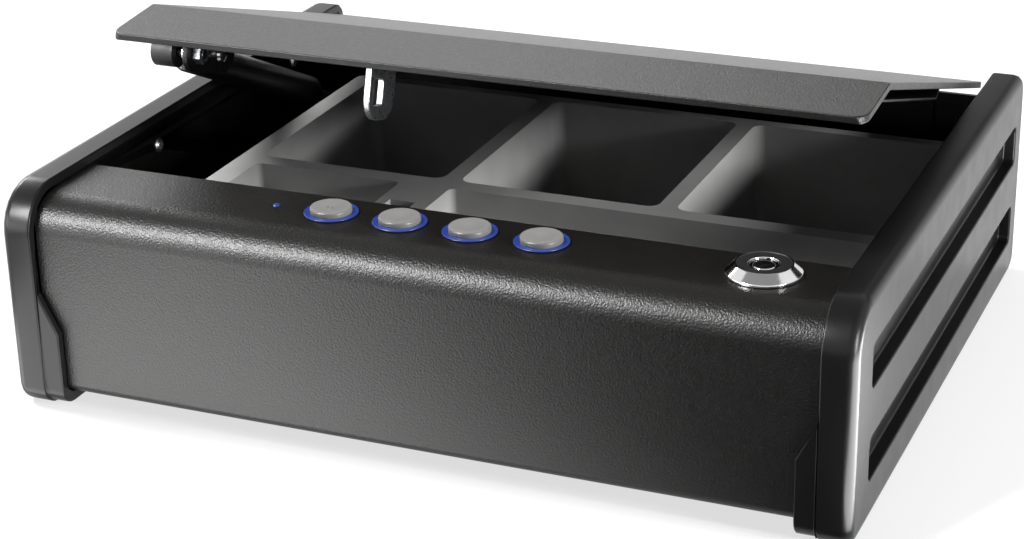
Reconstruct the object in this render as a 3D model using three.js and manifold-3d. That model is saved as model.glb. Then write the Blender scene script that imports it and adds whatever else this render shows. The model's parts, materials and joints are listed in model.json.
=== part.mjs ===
import * as THREE from 'three';
import { mergeVertices } from 'three/addons/utils/BufferGeometryUtils.js';
import Module from 'manifold-3d';

const wasm = await Module();
wasm.setup();

// Portable car safe with its lid part open. Millimetres, +Z up, front towards -Y.
// The origin is the middle of the footprint, on the surface that the safe stands on.

// Overall size
const safeWidth = 360;
const safeDepth = 288;
const safeHeight = 96;

// Fits shared by all pieces
const gap = 0.3;
const overrun = 30;
const arcTolerance = 0.15;
const roundSides = 20;
const mediumSides = 16;
const smallSides = 12;
const postSides = 8;

// End caps
const capBand = 14;
const capTopFrontRadius = 20;
const capTopRearRadius = 8;
const capBottomRadius = 9;
const capEdgeRadius = 4.5;
const capWall = 3.5;
const footReach = 8.5;
const footHeightShare = 0.354;
const footSlantShare = 0.177;
const footStep = 0.8;
const grooveHeightShare = 0.1875;
const lowerGrooveShare = 0.1875;
const upperGrooveShare = 0.5885;
const grooveDepth = 5.5;
const grooveFrontInset = 22.5;
const grooveRearInset = 15;
const grooveCornerRadius = 3;
const pocketMargin = 4;
const pocketCornerRadius = 1.5;

// Steel body
const bodySheet = 2;
const faceRecess = 5;
const ledgeDrop = 5;
const bodyLift = 6;
const panelBottomRadius = 5;
const ledgeBendRadius = 3;
const ledgeDepth = 53.7;
const rearPanelDrop = 4;

// Mechanism cover and floor mat
const coverSheet = 1.5;
const coverDrop = 31.5;
const coverReach = 60.3;
const coverTuck = 8.7;
const matThickness = 3;

// Lid and hinge
const hingeInset = 10;
const hingeDrop = 3;
const restAngle = THREE.MathUtils.degToRad(17.4);
const lidSideGap = 3.5;
const lidFrontGap = 6.85;
const lidRearGap = 3.6;
const lidRise = 4;
const lidLipLength = 35;
const lidLipAngle = THREE.MathUtils.degToRad(22);
const lidThickness = 3;
const lidSheet = 1.6;
const lidHem = 10;
const lidBendRadius = 5;
const lidCornerRadius = 6;
const stiffenerSheet = 1.2;
const stiffenerHeight = 6;
const stiffenerFlange = 9;
const stiffenerSlope = 5;
const stiffenerRearInset = 34;
const stiffenerFrontInset = 12;
const knuckleRadius = 3;
const knuckleCount = 9;
const hingeSideGap = 26;
const hingeLeafSheet = 1.5;
const hingeLeafWidth = 24;
const pinRadius = 1.55;
const pinClearance = 0.1;

// Strike tongue and sliding bolt
const tongueX = -44.2;
const tongueThickness = 2.5;
const tongueInset = 5.5;
const tongueWidth = 24;
const tongueDip = 4.5;
const tongueEndRadius = 9;
const tongueFlange = 16;
const strikeSlotInset = 4;
const strikeSlotWidth = 8.5;
const strikeSlotHeight = 11;
const strikeSlotRise = 6;
const boltTravel = 5;
const boltClearance = 0.5;
const boltThickness = 5;
const boltArmThickness = 3;
const barThickness = 2.5;
const barWidth = 12;
const barDrop = 6.2;
const housingWall = 1.2;
const housingEndMargin = 5;

// Lock, set in the ledge
const lockInset = 31.8;
const controlsFromFront = 35.1;
const bezelRadius = 14.7;
const bezelFaceRadius = 11;
const bezelHeight = 4.2;
const bezelEdge = 0.8;
const bezelFaceRim = 0.5;
const bezelFaceSlope = 0.2;
const bezelFaceSink = 0.35;
const barrelRadius = 9.4;
const barrelLength = 25;
const plugRadius = 5.9;
const plugClearance = 0.2;
const plugSink = 0.8;
const keywayOuter = 4.9;
const keywayInner = 3.3;
const keywayDepth = 7;
const keyNotchWidth = 1.8;
const lockNutAcross = 25;
const lockNutThickness = 4.5;
const camThickness = 2;
const camRadius = 8;
const drivePinRadius = 1.5;

// Key buttons and their light rings
const buttonCount = 4;
const buttonPitch = 30.15;
const firstButtonX = -45.2;
const buttonRadius = 8.5;
const buttonRise = 3.2;
const buttonSkirt = 2.6;
const buttonEdge = 1.2;
const buttonDish = 0.7;
const buttonTravel = 1.5;
const buttonRoundShare = 0.3;
const buttonDishInnerShare = 0.6;
const buttonDishRiseShare = 0.2;
const pipRadius = 0.9;
const pipRise = 0.45;
const stemRadius = 3.2;
const ringRadius = 11;
const ringLip = 0.6;
const ringBody = 10;
const statusLampX = -69.9;
const statusLampRadius = 1.5;
const lampCollarShare = 1.3;
const lampTipShare = 0.7;
const lampRiseShare = 1.4;
const keypadFrameThickness = 2.4;
const keypadBoardDrop = 11;
const boardThickness = 1.6;
const switchSize = 6;
const switchHeight = 2;
const keypadMargin = 9;
const keypadHalfDepth = 13;

// Mechanism plate and solenoid
const plateSheet = 1.5;
const plateFront = 24;
const plateSetback = 14;
const plateMargin = 8.7;
const plateSideGap = 16;
const solenoidX = 12;
const solenoidLength = 32;
const solenoidWidth = 20;
const solenoidHeight = 18.5;
const plungerRadius = 3.5;
const plungerNeckRadius = 2;
const tabX = -10;
const tabWidth = 9;
const guideScrewRadius = 1.5;
const guideHeadRadius = 3.2;

// Batteries under the front, behind a sliding cover
const cellRadius = 7.1;
const cellLength = 50.5;
const cellCount = 4;
const cellPitch = 15;
const cellTipShares = [0.4, 0.35];
const cellRibShare = 0.6;
const batterySideInset = 18;
const batteryFront = 34;
const holderWall = 1.5;
const doorSheet = 1.5;
const doorMargin = 3;
const gripRibs = 4;
const railWidth = 3;
const railSheet = 1;

// Organiser tray
const trayDrop = 16;
const strutWell = 32;
const traySideGap = 2.5;
const trayFrontGap = 3.3;
const trayRearGap = 47;
const trayWall = 2.5;
const trayHousingGap = 1;
const tongueSlotRoom = 6.8;
const trayLeftRim = 9;
const trayRightRim = 6.5;
const trayRearRim = 6;
const trayDivider = 8;
const middleWall = 9;
const compartmentWidthShares = [0.331, 0.338, 0.331];
const compartmentRadius = 5;
const troughDepth = 11;
const troughRadius = 3;
const trayDraft = Math.tan(THREE.MathUtils.degToRad(2));

// Gas strut
const strutInset = 9;
const strutRadius = 7.5;
const strutBore = 6.6;
const strutLidInset = 9.7;
const strutLidDrop = 15.6;
const strutBodyBack = 5;
const strutBodyDrop = 41;
const strutTubeStart = 14;
const strutTubePlug = 10;
const strutEndPlay = 2.2;
const strutCollarGap = 22.2;
const rodRadius = 3;
const ballRadius = 4;
const ballClearance = gap;
const ballNeckRadius = 2.2;
const socketRadius = 7;
const socketDepth = 6.3;
const shankRadius = 4.5;
const bracketSheet = 2.5;
const bracketOffset = 10;
const bracketAhead = 8.1;
const bracketBehind = 34.3;
const bracketFlange = 13;
const bracketEndRadius = 8.6;
const rivetHeadShare = 1.9;
const rivetDomeShares = [[0.85, 0.7], [0.45, 1], [0, 1.1]];
const nutAcross = 8;
const nutThickness = 3.6;

// Screws that hold the end caps from inside
const capScrewDrop = 9;
const capScrewShares = [0.356, 0.8];
const capScrewRadius = 1.8;
const capScrewHeadRadius = 3.2;
const capScrewHeadHeight = 1.7;
const capScrewLength = 7;
const capScrewDomeShare = 0.6;
const capScrewRecessShare = 0.35;

// Places worked out from the sizes above
const frontY = -safeDepth / 2;
const rearY = safeDepth / 2;
const capInnerX = safeWidth / 2 - capBand;
const ledgeZ = safeHeight - ledgeDrop;
const ledgeUnder = ledgeZ - bodySheet;
const ledgeRearY = frontY + ledgeDepth;
const panelFrontY = frontY + faceRecess;
const panelRearY = rearY - faceRecess;
const panelTopRadius = capTopFrontRadius - faceRecess;
const floorZ = bodyLift + bodySheet;
const railBottom = bodyLift - doorSheet - 2 * gap - railSheet;
const hingeY = rearY - hingeInset;
const hingeZ = ledgeZ - hingeDrop;
const rearPanelTop = hingeZ - rearPanelDrop;
const hingeLength = 2 * (capInnerX - hingeSideGap);
const coverTop = ledgeZ - coverDrop;
const coverRearY = ledgeRearY + coverReach;
const controlsY = frontY + controlsFromFront;
const capScrewZ = ledgeZ - capScrewDrop;
const capScrewYs = capScrewShares.map((share) => frontY + share * safeDepth);
const footHeight = safeHeight * footHeightShare;
const footSlant = safeHeight * footSlantShare;
const grooveHeight = safeHeight * grooveHeightShare;
const lowerGrooveBottom = safeHeight * lowerGrooveShare;
const upperGrooveBottom = safeHeight * upperGrooveShare;

// Lid places, measured from the hinge axis with the lid closed
const lidHalfWidth = capInnerX - lidSideGap;
const lidFront = ledgeRearY + lidFrontGap - hingeY;
const lidReach = -lidFront - lidLipLength * Math.cos(lidLipAngle);
const tongueFront = lidFront + tongueInset;
const tongueRear = tongueFront + tongueWidth;
const tongueBottom = coverTop - tongueDip - hingeZ;
const strikeSlotBottom = tongueBottom + strikeSlotRise;
const studY = strutLidInset - lidReach;
const studZ = -strutLidDrop;
const strutX = strutInset - capInnerX;
const bracketX = strutX + bracketOffset;

// Lock places
const lockX = capInnerX - lockInset;
const lockFaceZ = ledgeZ + gap + bezelHeight;
const barrelBottom = ledgeZ - barrelLength;
const plugBottom = barrelBottom - 2 * gap;
const tongueLeft = tongueX - tongueThickness / 2;
const tongueRight = tongueX + tongueThickness / 2;
const boltTip = tongueRight + boltClearance;
const boltArmLeft = boltTip + boltTravel;
const boltArmRight = boltArmLeft + boltArmThickness;
const boltY = hingeY + tongueFront + strikeSlotInset + strikeSlotWidth / 2;
const boltBottom = hingeZ + strikeSlotBottom + boltClearance;
const boltTop = boltBottom + boltThickness;
const housingLeft = boltTip - boltTravel - boltClearance - housingWall;
const housingRight = boltArmRight + boltClearance + housingWall;
const housingFrontY = hingeY + tongueFront - housingEndMargin;
const housingRearY = hingeY + tongueRear + housingEndMargin;
const housingTop = boltTop + boltClearance + housingWall;
const barHeight = coverTop - barDrop;
const plateTop = barHeight - gap;
const plateUnder = plateTop - plateSheet;
const plungerZ = plateUnder - solenoidHeight / 2;
const camEccentric = boltTravel / Math.SQRT2;
const drivePinX = lockX + boltTravel / 2;
const drivePinY = controlsY - boltTravel / 2;

// Tray places
const trayRim = ledgeZ - trayDrop;
const trayLeftX = strutWell - capInnerX;
const trayRightX = capInnerX - traySideGap;
const trayFrontY = ledgeRearY + trayFrontGap;
const trayRearY = rearY - trayRearGap;

// Finishes
function finish(color, roughness, metalness) {
  return new THREE.MeshStandardMaterial({ color, roughness, metalness });
}
const blackPowder = () => finish(0x2b2a29, 0.5, 0.2);
const capPlastic = () => finish(0x232321, 0.55, 0);
const trayPlastic = () => finish(0x5c5c5c, 0.5, 0);
const buttonPlastic = () => finish(0xb5b3b0, 0.45, 0);
const blueLight = () => finish(0x3b4fc8, 0.35, 0);
const chrome = () => finish(0xd8d8d8, 0.12, 1);
const zinc = () => finish(0xa9adb0, 0.35, 0.9);
const darkPlastic = () => finish(0x151515, 0.5, 0);
const boardGreen = () => finish(0x1f4a33, 0.5, 0);
const foam = () => finish(0x1a1a1a, 0.95, 0);
const cellSleeve = () => finish(0x8a6a35, 0.4, 0.3);

// Solids and booleans
function toSolid(geometry) {
  geometry.deleteAttribute('normal');
  geometry.deleteAttribute('uv');
  const merged = mergeVertices(geometry, 1e-4);
  return new wasm.Manifold(new wasm.Mesh({
    numProp: 3,
    vertProperties: merged.attributes.position.array,
    triVerts: new Uint32Array(merged.index.array),
  }));
}

function toGeometry(solid) {
  const mesh = solid.getMesh();
  const geometry = new THREE.BufferGeometry();
  geometry.setAttribute('position', new THREE.BufferAttribute(new Float32Array(mesh.vertProperties), 3));
  geometry.setIndex(new THREE.BufferAttribute(new Uint32Array(mesh.triVerts), 1));
  geometry.computeVertexNormals();
  return geometry;
}

function joined(...solids) {
  return solids.reduce((sum, solid) => sum.add(solid));
}

function cut(solid, ...tools) {
  return tools.reduce((rest, tool) => rest.subtract(tool), solid);
}

function addPiece(parent, name, solid, material) {
  const mesh = new THREE.Mesh(toGeometry(solid), material);
  mesh.name = name;
  parent.add(mesh);
  return mesh;
}

// Outlines: corners are [u, v] or [u, v, radius], and each radius becomes an arc
function arcPoints(before, corner, after) {
  const point = new THREE.Vector2(corner[0], corner[1]);
  const radius = corner[2] || 0;
  if (radius === 0) return [point];
  const toBefore = new THREE.Vector2(before[0], before[1]).sub(point).normalize();
  const toAfter = new THREE.Vector2(after[0], after[1]).sub(point).normalize();
  const half = Math.acos(THREE.MathUtils.clamp(toBefore.dot(toAfter), -1, 1)) / 2;
  const middle = toBefore.clone().add(toAfter).normalize();
  const centre = point.clone().addScaledVector(middle, radius / Math.sin(half));
  const start = point.clone().addScaledVector(toBefore, radius / Math.tan(half)).sub(centre);
  const turn = Math.PI - 2 * half;
  const side = Math.sign(toBefore.cross(toAfter));
  const stepAngle = 2 * Math.acos(1 - Math.min(arcTolerance / radius, 0.3));
  const steps = Math.max(2, Math.ceil(turn / stepAngle));
  const points = [];
  for (let step = 0; step <= steps; step += 1) {
    const spoke = start.clone().rotateAround(new THREE.Vector2(), -side * turn * step / steps);
    points.push(spoke.add(centre));
  }
  return points;
}

function roundedOutline(corners) {
  return corners.flatMap((corner, index) => {
    const before = corners[(index + corners.length - 1) % corners.length];
    const after = corners[(index + 1) % corners.length];
    return arcPoints(before, corner, after);
  });
}

function roundedRectangle(left, bottom, right, top, radii) {
  const [leftBottom, rightBottom, rightTop, leftTop] = radii;
  return roundedOutline([
    [left, bottom, leftBottom],
    [right, bottom, rightBottom],
    [right, top, rightTop],
    [left, top, leftTop],
  ]);
}

// The face of a bent sheet, moved to its left by a distance
function offsetPath(path, distance) {
  return path.map((corner, index) => {
    const here = new THREE.Vector2(corner[0], corner[1]);
    const last = index === path.length - 1;
    const into = index === 0 ? null : here.clone().sub(new THREE.Vector2(...path[index - 1])).normalize();
    const out = last ? null : new THREE.Vector2(...path[index + 1]).sub(here).normalize();
    const first = into || out;
    const second = out || into;
    const firstNormal = new THREE.Vector2(-first.y, first.x);
    const secondNormal = new THREE.Vector2(-second.y, second.x);
    const middle = firstNormal.clone().add(secondNormal).normalize();
    const moved = here.addScaledVector(middle, distance / middle.dot(firstNormal));
    const turn = Math.sign(first.cross(second));
    const radius = corner[2] ? Math.max(corner[2] - turn * distance, gap) : 0;
    return [moved.x, moved.y, radius];
  });
}

// A bent sheet seen from its end: the path is its outer face, with the metal on its left
function sheetOutline(path, thickness) {
  const inner = offsetPath(path, thickness).reverse();
  return roundedOutline([...path, ...inner]);
}

// Prisms along each axis
const alongX = new THREE.Matrix4().makeBasis(
  new THREE.Vector3(0, 1, 0), new THREE.Vector3(0, 0, 1), new THREE.Vector3(1, 0, 0));
const alongY = new THREE.Matrix4().makeBasis(
  new THREE.Vector3(1, 0, 0), new THREE.Vector3(0, 0, 1), new THREE.Vector3(0, -1, 0));

function extruded(outline, depth, options = {}) {
  const shape = new THREE.Shape(outline);
  return new THREE.ExtrudeGeometry(shape, { depth, bevelEnabled: false, ...options });
}

function prismX(outline, fromX, toX) {
  return toSolid(extruded(outline, toX - fromX).applyMatrix4(alongX).translate(fromX, 0, 0));
}

function prismY(outline, fromY, toY) {
  return toSolid(extruded(outline, toY - fromY).applyMatrix4(alongY).translate(0, toY, 0));
}

function prismZ(outline, fromZ, toZ) {
  return toSolid(extruded(outline, toZ - fromZ).translate(0, 0, fromZ));
}

function block(fromX, toX, fromY, toY, fromZ, toZ) {
  const geometry = new THREE.BoxGeometry(toX - fromX, toY - fromY, toZ - fromZ);
  geometry.translate((fromX + toX) / 2, (fromY + toY) / 2, (fromZ + toZ) / 2);
  return toSolid(geometry);
}

// Turned pieces: the profile is [radius, height] from the axis round to the axis
function turned(profile, sides = roundSides) {
  const points = profile.map(([radius, height]) => new THREE.Vector2(radius, height));
  const geometry = new THREE.LatheGeometry(points, sides);
  return toSolid(geometry.rotateX(Math.PI / 2));
}

function rodZ(radius, fromZ, toZ, sides = roundSides) {
  const geometry = new THREE.CylinderGeometry(radius, radius, toZ - fromZ, sides);
  return toSolid(geometry.rotateX(Math.PI / 2).translate(0, 0, (fromZ + toZ) / 2));
}

function rodX(radius, fromX, toX, sides = roundSides) {
  const geometry = new THREE.CylinderGeometry(radius, radius, toX - fromX, sides);
  return toSolid(geometry.rotateZ(Math.PI / 2).translate((fromX + toX) / 2, 0, 0));
}

function hexagon(across) {
  const radius = across / Math.sqrt(3);
  return Array.from({ length: 6 }, (_, index) => {
    const angle = index * Math.PI / 3;
    return new THREE.Vector2(radius * Math.cos(angle), radius * Math.sin(angle));
  });
}

// Moulded end caps

// The side outline of a cap, drawn in by a distance
function capOutline(inset) {
  return roundedRectangle(frontY + inset, inset, rearY - inset, safeHeight - inset, [
    capBottomRadius - inset,
    capBottomRadius - inset,
    capTopRearRadius - inset,
    capTopFrontRadius - inset,
  ]);
}

// The space that the steel body and its side wall take up, with a clearance round it
function bodyOutline(clearance) {
  const low = panelBottomRadius + clearance;
  return roundedRectangle(
    panelFrontY - clearance, bodyLift - clearance, panelRearY + clearance, ledgeZ + clearance,
    [low, low, capTopRearRadius - faceRecess + clearance, panelTopRadius + clearance]);
}

function capFoot() {
  const outer = prismX(capOutline(footStep), capInnerX - footReach, capInnerX + gap);
  const innerEdge = capInnerX - footReach;
  const mask = prismY([
    new THREE.Vector2(innerEdge, -overrun),
    new THREE.Vector2(capInnerX + overrun, -overrun),
    new THREE.Vector2(capInnerX + overrun, footHeight + footSlant),
    new THREE.Vector2(capInnerX, footHeight + footSlant),
    new THREE.Vector2(innerEdge, footHeight),
  ], frontY, rearY);
  return outer.intersect(mask);
}

function capGroove(bottom) {
  const outline = roundedRectangle(
    frontY + grooveFrontInset, bottom, rearY - grooveRearInset, bottom + grooveHeight,
    Array(4).fill(grooveCornerRadius));
  return prismX(outline, safeWidth / 2 - grooveDepth, safeWidth / 2 + overrun);
}

function capPocket(bottom, top) {
  const inset = faceRecess + pocketMargin;
  const outline = roundedRectangle(frontY + inset, bottom, rearY - inset, top,
    Array(4).fill(pocketCornerRadius));
  return prismX(outline, capInnerX + bodySheet, safeWidth / 2 - capWall);
}

function capScrewBoss(y) {
  const boss = rodX(capScrewHeadRadius + capWall / 2, capInnerX + bodySheet, safeWidth / 2 - capWall);
  return boss.translate([0, y, capScrewZ]);
}

function capScrewHole(y) {
  const hole = rodX(capScrewRadius + gap, capInnerX - overrun, capInnerX + capScrewLength + gap);
  return hole.translate([0, y, capScrewZ]);
}

function rightCapSolid() {
  const bevel = {
    bevelEnabled: true, bevelSize: capEdgeRadius, bevelThickness: capEdgeRadius,
    bevelSegments: 3,
  };
  const depth = capBand + overrun - 2 * capEdgeRadius;
  const shell = toSolid(extruded(capOutline(capEdgeRadius), depth, bevel).applyMatrix4(alongX)
    .translate(safeWidth / 2 - depth - capEdgeRadius, 0, 0));
  const outside = block(capInnerX, safeWidth, frontY - overrun, rearY + overrun,
    -overrun, safeHeight + overrun);
  const lowTop = lowerGrooveBottom - pocketMargin;
  const middleBottom = lowerGrooveBottom + grooveHeight + pocketMargin;
  const middleTop = upperGrooveBottom - pocketMargin;
  const highBottom = upperGrooveBottom + grooveHeight + pocketMargin / 2;
  const highPocket = cut(capPocket(highBottom, ledgeZ - pocketMargin / 4), ...capScrewYs.map(capScrewBoss));
  return cut(
    joined(shell.intersect(outside), capFoot()),
    prismX(bodyOutline(gap), 0, capInnerX + bodySheet + gap),
    capPocket(bodyLift + pocketMargin / 4, lowTop),
    capPocket(middleBottom, middleTop),
    highPocket,
    capGroove(lowerGrooveBottom),
    capGroove(upperGrooveBottom),
    ...capScrewYs.map(capScrewHole));
}

function mirroredX(solid) {
  return solid.mirror([1, 0, 0]);
}

function addEndCaps(parent) {
  const right = rightCapSolid();
  addPiece(parent, 'right_end_cap', right, capPlastic());
  addPiece(parent, 'left_end_cap', mirroredX(right), capPlastic());
}

function addCapScrews(parent) {
  const head = capScrewHeadRadius;
  const profile = [
    [0, -capScrewLength], [capScrewRadius, -capScrewLength], [capScrewRadius, 0], [head, 0],
    [head, capScrewHeadHeight / 2], [head * capScrewDomeShare, capScrewHeadHeight],
    [0, capScrewHeadHeight],
  ];
  const recess = prismZ(hexagon(head * capScrewRecessShare * Math.sqrt(3)), capScrewHeadHeight / 3, overrun);
  const screw = cut(turned(profile, smallSides), recess);
  const names = ['front', 'rear'];
  capScrewYs.forEach((y, index) => {
    const place = [y, capScrewZ];
    const left = screw.rotate([0, 90, 0]).translate([-capInnerX + gap, ...place]);
    const right = screw.rotate([0, -90, 0]).translate([capInnerX - gap, ...place]);
    addPiece(parent, `left_cap_screw_${names[index]}`, left, zinc());
    addPiece(parent, `right_cap_screw_${names[index]}`, right, zinc());
  });
}

// Steel body: ledge, front, bottom and rear are one bent sheet
function bodySheetPath() {
  return [
    [ledgeRearY, coverTop + gap],
    [ledgeRearY, ledgeZ, ledgeBendRadius],
    [panelFrontY, ledgeZ, panelTopRadius],
    [panelFrontY, bodyLift, panelBottomRadius],
    [panelRearY, bodyLift, panelBottomRadius],
    [panelRearY, rearPanelTop],
  ];
}

function buttonX(index) {
  return firstButtonX + index * buttonPitch;
}

function batteryBox() {
  return {
    left: batterySideInset - capInnerX,
    right: batterySideInset - capInnerX + cellLength + 2 * holderWall + gap,
    front: frontY + batteryFront,
    rear: frontY + batteryFront + cellCount * cellPitch + 2 * holderWall,
  };
}

// One rail under the bottom: a strip with a lip that holds the battery cover up
function batteryRail(innerY, outwards) {
  const box = batteryBox();
  const outerY = innerY + outwards * railWidth;
  const lipY = innerY - outwards * railWidth / 2;
  const web = block(box.left - railWidth, box.right, Math.min(innerY, outerY), Math.max(innerY, outerY),
    railBottom, bodyLift + bodySheet / 2);
  const lip = block(box.left - railWidth, box.right, Math.min(lipY, outerY), Math.max(lipY, outerY),
    railBottom, railBottom + railSheet);
  return joined(web, lip);
}

// A round hole through the ledge
function ledgeHole(x, radius, sides) {
  return rodZ(radius + gap, ledgeUnder - bodySheet, safeHeight, sides).translate([x, controlsY, 0]);
}

function ledgeHoles() {
  const buttons = Array.from({ length: buttonCount }, (_, index) => ledgeHole(buttonX(index), ringBody));
  return [...buttons, ledgeHole(statusLampX, statusLampRadius, smallSides), ledgeHole(lockX, barrelRadius)];
}

function addBodyShell(parent) {
  const box = batteryBox();
  const sheet = prismX(sheetOutline(bodySheetPath(), bodySheet), -capInnerX, capInnerX);
  const batteryHole = block(box.left + doorMargin, box.right - doorMargin,
    box.front + doorMargin, box.rear - doorMargin, 0, floorZ + bodySheet);
  const stop = block(box.left - railWidth, box.left, box.front - gap, box.rear + gap,
    railBottom, bodyLift + bodySheet / 2);
  const rails = [batteryRail(box.front - gap, -1), batteryRail(box.rear + gap, 1), stop];
  addPiece(parent, 'body_shell', joined(cut(sheet, ...ledgeHoles(), batteryHole), ...rails), blackPowder());
}

function addSideWalls(parent) {
  const plate = prismX(bodyOutline(0), capInnerX, capInnerX + bodySheet);
  const wall = cut(plate, ...capScrewYs.map(capScrewHole));
  addPiece(parent, 'right_side_wall', wall, blackPowder());
  addPiece(parent, 'left_side_wall', mirroredX(wall), blackPowder());
}

function addMechanismCover(parent) {
  const path = [
    [coverRearY, floorZ + gap],
    [coverRearY, coverTop, ledgeBendRadius],
    [ledgeRearY - coverTuck, coverTop],
  ];
  const sheet = prismX(sheetOutline(path, coverSheet), -capInnerX + gap, capInnerX - gap);
  const opening = block(housingLeft - gap, housingRight + gap,
    housingFrontY - gap, housingRearY + gap, plateTop, safeHeight);
  addPiece(parent, 'mechanism_cover', cut(sheet, opening), blackPowder());
}

function addFloorMat(parent) {
  const mat = prismZ(roundedRectangle(
    -capInnerX + gap, coverRearY + gap, capInnerX - gap, panelRearY - panelBottomRadius,
    Array(4).fill(panelBottomRadius)), floorZ, floorZ + matThickness);
  addPiece(parent, 'floor_mat', mat, foam());
}

// Lid: everything here is drawn closed, measured from the hinge axis, and turned to the rest pose
function lidPath(rearInset, frontInset) {
  const reach = lidLipLength - frontInset;
  return [
    [-lidRearGap - rearInset, lidRise],
    [-lidReach, lidRise, lidBendRadius],
    [-lidReach - reach * Math.cos(lidLipAngle), lidRise - reach * Math.sin(lidLipAngle)],
  ];
}

function addLidPanel(parent) {
  const sheet = prismX(sheetOutline(lidPath(0, 0), lidThickness), -lidHalfWidth, lidHalfWidth);
  const mask = prismZ(roundedRectangle(-lidHalfWidth, lidFront, lidHalfWidth, overrun,
    [lidCornerRadius, lidCornerRadius, 0, 0]), -safeHeight, safeHeight);
  const pocketPath = offsetPath(lidPath(lidHem, lidHem), lidSheet);
  const pocketHalf = lidHalfWidth - lidHem;
  const pocket = prismX(sheetOutline(pocketPath, lidThickness), -pocketHalf, pocketHalf);
  addPiece(parent, 'lid_panel', cut(sheet.intersect(mask), pocket), blackPowder());
}

// A shallow pressed pan that stiffens the lid from below
function addLidStiffener(parent) {
  const high = lidRise - lidSheet - gap;
  const low = high - stiffenerHeight;
  const rear = -stiffenerRearInset;
  const front = -lidReach + stiffenerFrontInset;
  const path = [
    [rear, high],
    [rear - stiffenerFlange, high, stiffenerSheet * 2],
    [rear - stiffenerFlange - stiffenerSlope, low, stiffenerSheet * 2],
    [front + stiffenerFlange + stiffenerSlope, low, stiffenerSheet * 2],
    [front + stiffenerFlange, high, stiffenerSheet * 2],
    [front, high],
  ];
  const left = bracketX + bracketSheet + bracketFlange + stiffenerFlange / 3;
  addPiece(parent, 'lid_stiffener',
    prismX(sheetOutline(path, stiffenerSheet), left, lidHalfWidth - lidHem - gap), blackPowder());
}

// Strike tongue: a plate in line with the side walls, with a slot for the bolt and a flange under the lip
function lipUnderside(y, below) {
  const along = -lidReach - y;
  return lidRise - below / Math.cos(lidLipAngle) - along * Math.tan(lidLipAngle);
}

function addStrikeTongue(parent) {
  const front = tongueFront;
  const rear = tongueRear;
  const hemEdge = -lidReach - (lidLipLength - lidHem) * Math.cos(lidLipAngle)
    + lidThickness * Math.sin(lidLipAngle) + gap;
  const below = lidSheet + gap;
  const belowHem = lidThickness + gap;
  const plate = prismX(roundedOutline([
    [front, tongueBottom, tongueEndRadius],
    [rear, tongueBottom, tongueEndRadius],
    [rear, lipUnderside(rear, below)],
    [hemEdge, lipUnderside(hemEdge, below)],
    [hemEdge, lipUnderside(hemEdge, belowHem)],
    [front, lipUnderside(front, belowHem)],
  ]), tongueLeft, tongueRight);
  const flange = prismX(roundedOutline([
    [hemEdge, lipUnderside(hemEdge, below + tongueThickness)],
    [rear, lipUnderside(rear, below + tongueThickness)],
    [rear, lipUnderside(rear, below)],
    [hemEdge, lipUnderside(hemEdge, below)],
  ]), tongueLeft - tongueFlange, tongueLeft + tongueThickness / 2);
  const slotFront = front + strikeSlotInset;
  const slot = prismX(roundedRectangle(
    slotFront, strikeSlotBottom, slotFront + strikeSlotWidth, strikeSlotBottom + strikeSlotHeight,
    Array(4).fill(strikeSlotWidth / 8)), tongueLeft - overrun, tongueRight + overrun);
  addPiece(parent, 'strike_tongue', cut(joined(plate, flange), slot), zinc());
}

// Hinge: knuckles of the two leaves alternate along one pin
function knuckle(index) {
  const length = hingeLength / knuckleCount;
  const from = -hingeLength / 2 + index * length + gap / 2;
  const to = from + length - gap;
  return { from, to, solid: rodX(knuckleRadius, from, to, mediumSides) };
}

function hingeLeaf(odd, plateFor) {
  let leaf = null;
  for (let index = 0; index < knuckleCount; index += 1) {
    if (index % 2 === odd) {
      const { from, to, solid } = knuckle(index);
      const part = joined(solid, plateFor(from, to));
      leaf = leaf ? leaf.add(part) : part;
    }
  }
  return cut(leaf, rodX(pinRadius + pinClearance, -hingeLength, hingeLength, mediumSides));
}

function addLidHingeLeaf(parent) {
  const top = lidRise - lidThickness - gap;
  const near = -knuckleRadius - gap * 2;
  const far = -hingeLeafWidth;
  const tab = (from, to) => block(from, to, near - overrun / 10, 0, top - hingeLeafSheet, top);
  const strip = block(-hingeLength / 2, hingeLength / 2, far, near - gap, top - hingeLeafSheet, top);
  addPiece(parent, 'lid_hinge_leaf', joined(hingeLeaf(1, tab), strip), blackPowder());
}

function addBodyHingeLeaf(parent) {
  const y = knuckleRadius - hingeLeafSheet;
  const low = -knuckleRadius - gap * 2;
  const tab = (from, to) => block(from, to, y, knuckleRadius, low - overrun / 10, 0);
  const strip = block(-hingeLength / 2, hingeLength / 2, y, knuckleRadius, -hingeLeafWidth, low - gap);
  addPiece(parent, 'body_hinge_leaf', joined(hingeLeaf(0, tab), strip), blackPowder());
}

function addHingePin(parent) {
  addPiece(parent, 'hinge_pin', rodX(pinRadius, -hingeLength / 2, hingeLength / 2, mediumSides), zinc());
}

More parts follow.
